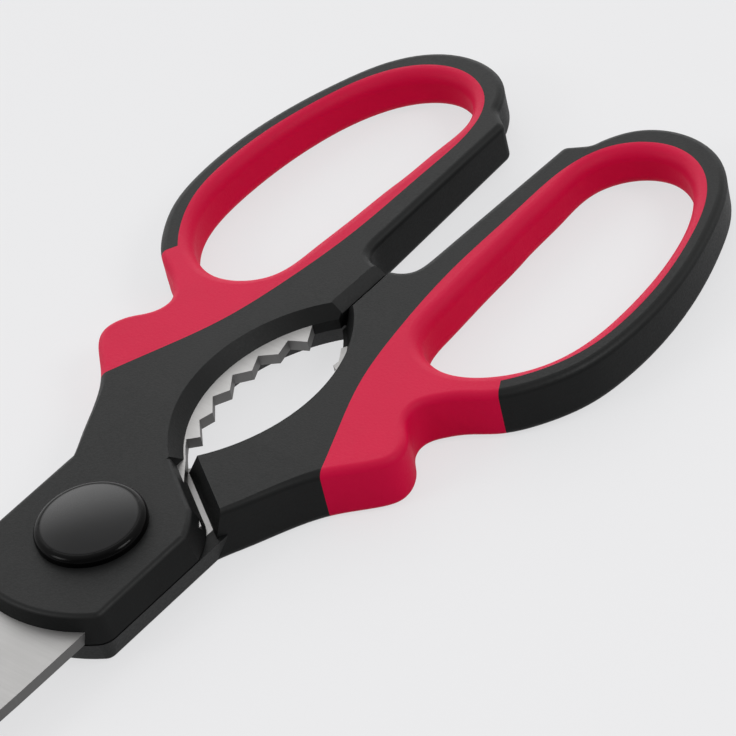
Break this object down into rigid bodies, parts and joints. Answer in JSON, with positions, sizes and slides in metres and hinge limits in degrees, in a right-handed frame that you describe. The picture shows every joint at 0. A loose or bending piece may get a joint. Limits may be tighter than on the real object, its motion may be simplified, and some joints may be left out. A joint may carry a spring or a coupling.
{
  "type": "kitchen shears",
  "caption": "Kitchen shears with steel blades that cross at a capped pivot, a toothed gripping jaw behind it and looped two-tone handles with soft inner grips.",
  "frame": {"origin": "on the pivot axis, on the flat underside of the lower handle's pivot plate", "axes": "+Z along the pivot axis towards the domed cap, +Y from the pivot towards the finger loops, +X towards the finger loop of the lower half"},
  "size_m": [0.0936, 0.2186, 0.0122],
  "materials": {
    "black_plastic": "satin",
    "red_rubber": "matte",
    "blade_steel": "brushed",
    "cap_plastic": "gloss",
    "fastener_steel": "satin",
    "washer_plastic": "matte"
  },
  "bodies": {
    "lower_half": {"lower_blade": "blade_steel", "lower_handle": "black_plastic", "lower_soft_grip": "red_rubber", "nut_cover": "cap_plastic", "blade_washer": "washer_plastic", "spring_washer": "fastener_steel"},
    "upper_half": {"upper_blade": "blade_steel", "upper_handle": "black_plastic", "upper_soft_grip": "red_rubber", "pivot_screw": "fastener_steel", "pivot_cap": "cap_plastic", "pivot_nut": "fastener_steel"}
  },
  "joints": [
    {"name": "pivot", "type": "hinge", "parent": "lower_half", "child": "upper_half", "pos_m": [0, 0, 0.00487], "axis": [0, 0, 1], "range_deg": [0, 65]}
  ]
}
